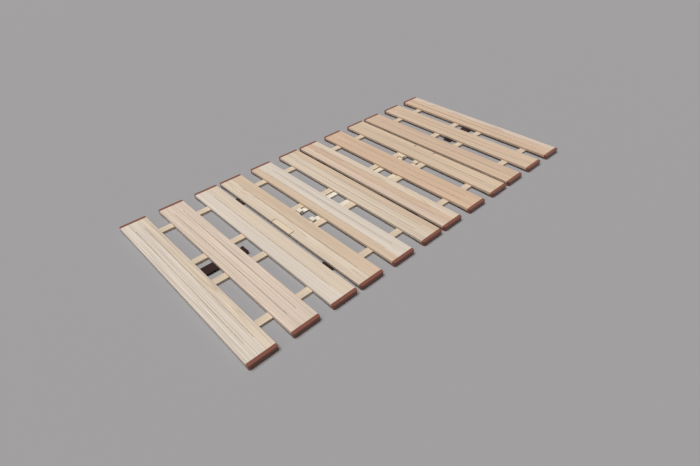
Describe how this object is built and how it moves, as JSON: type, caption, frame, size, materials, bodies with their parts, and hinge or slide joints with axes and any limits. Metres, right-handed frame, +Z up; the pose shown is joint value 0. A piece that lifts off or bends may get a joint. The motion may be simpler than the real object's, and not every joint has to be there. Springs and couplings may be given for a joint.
{
  "type": "folding slatted bed",
  "caption": "Low slatted wooden bed base that folds into a zigzag stack or stands up in peaks, with brown moulded end caps, webbing folds and pivoting stopper frames.",
  "frame": {"origin": "on the floor under the middle of the bed lying flat", "axes": "+X along the bed from slat 1 to slat 12, +Y along the slats to their left ends, +Z up"},
  "size_m": [1.999, 1.008, 0.023],
  "materials": {
    "slat_pale": "bare planed light wood",
    "slat_tan": "bare planed light wood, a little browner",
    "rail_wood": "bare planed yellowish wood",
    "stopper_wood": "bare planed cream wood",
    "cap_plastic": "moulded reddish brown plastic, slight sheen",
    "webbing": "woven dark brown webbing"
  },
  "bodies": {
    "panel_1": {"slat_1": "slat_pale", "end_cap_1_left": "cap_plastic", "end_cap_1_right": "cap_plastic", "slat_2": "slat_pale", "end_cap_2_left": "cap_plastic", "end_cap_2_right": "cap_plastic", "slat_3": "slat_pale", "end_cap_3_left": "cap_plastic", "end_cap_3_right": "cap_plastic", "rail_1_left_outer": "rail_wood", "rail_1_right_outer": "rail_wood", "rail_1_left_inner": "rail_wood", "rail_1_right_inner": "rail_wood", "storage_belt_1": "webbing"},
    "panel_2": {"slat_4": "slat_pale", "end_cap_4_left": "cap_plastic", "end_cap_4_right": "cap_plastic", "slat_5": "slat_pale", "end_cap_5_left": "cap_plastic", "end_cap_5_right": "cap_plastic", "slat_6": "slat_pale", "end_cap_6_left": "cap_plastic", "end_cap_6_right": "cap_plastic", "rail_2_left_outer": "rail_wood", "rail_2_right_outer": "rail_wood", "inner_frame_2": "rail_wood", "fold_strap_1_left": "webbing", "fold_strap_1_right": "webbing", "fold_strap_2_left": "webbing", "fold_strap_2_right": "webbing"},
    "panel_3": {"slat_7": "slat_tan", "end_cap_7_left": "cap_plastic", "end_cap_7_right": "cap_plastic", "slat_8": "slat_tan", "end_cap_8_left": "cap_plastic", "end_cap_8_right": "cap_plastic", "slat_9": "slat_tan", "end_cap_9_left": "cap_plastic", "end_cap_9_right": "cap_plastic", "rail_3_left_outer": "rail_wood", "rail_3_right_outer": "rail_wood", "inner_frame_3": "rail_wood", "fold_strap_3_left": "webbing", "fold_strap_3_right": "webbing"},
    "panel_4": {"slat_10": "slat_tan", "end_cap_10_left": "cap_plastic", "end_cap_10_right": "cap_plastic", "slat_11": "slat_tan", "end_cap_11_left": "cap_plastic", "end_cap_11_right": "cap_plastic", "slat_12": "slat_tan", "end_cap_12_left": "cap_plastic", "end_cap_12_right": "cap_plastic", "rail_4_left_outer": "rail_wood", "rail_4_right_outer": "rail_wood", "rail_4_left_inner": "rail_wood", "rail_4_right_inner": "rail_wood", "storage_belt_4": "webbing"},
    "stopper_2": {"stopper_frame_2": "stopper_wood"},
    "stopper_3": {"stopper_frame_3": "stopper_wood"}
  },
  "joints": [
    {"name": "fold_1", "type": "hinge", "parent": "panel_2", "child": "panel_1", "pos_m": [-0.505, 0, -0.0003], "axis": [0, -1, 0], "range_deg": [0, 180], "deforming": ["fold_strap_1_left", "fold_strap_1_right"]},
    {"name": "fold_2", "type": "hinge", "parent": "panel_2", "child": "panel_3", "pos_m": [0, 0, 0.0233], "axis": [0, -1, 0], "range_deg": [0, 180], "deforming": ["fold_strap_2_left", "fold_strap_2_right"]},
    {"name": "fold_3", "type": "hinge", "parent": "panel_3", "child": "panel_4", "pos_m": [0.505, 0, -0.0003], "axis": [0, 1, 0], "range_deg": [0, 180], "deforming": ["fold_strap_3_left", "fold_strap_3_right"]},
    {"name": "stopper_swing_2", "type": "hinge", "parent": "panel_2", "child": "stopper_2", "pos_m": [-0.0445, 0, 0.004], "axis": [0, 1, 0], "range_deg": [-75, 0]},
    {"name": "stopper_swing_3", "type": "hinge", "parent": "panel_3", "child": "stopper_3", "pos_m": [0.0445, 0, 0.004], "axis": [0, -1, 0], "range_deg": [-75, 0]}
  ]
}
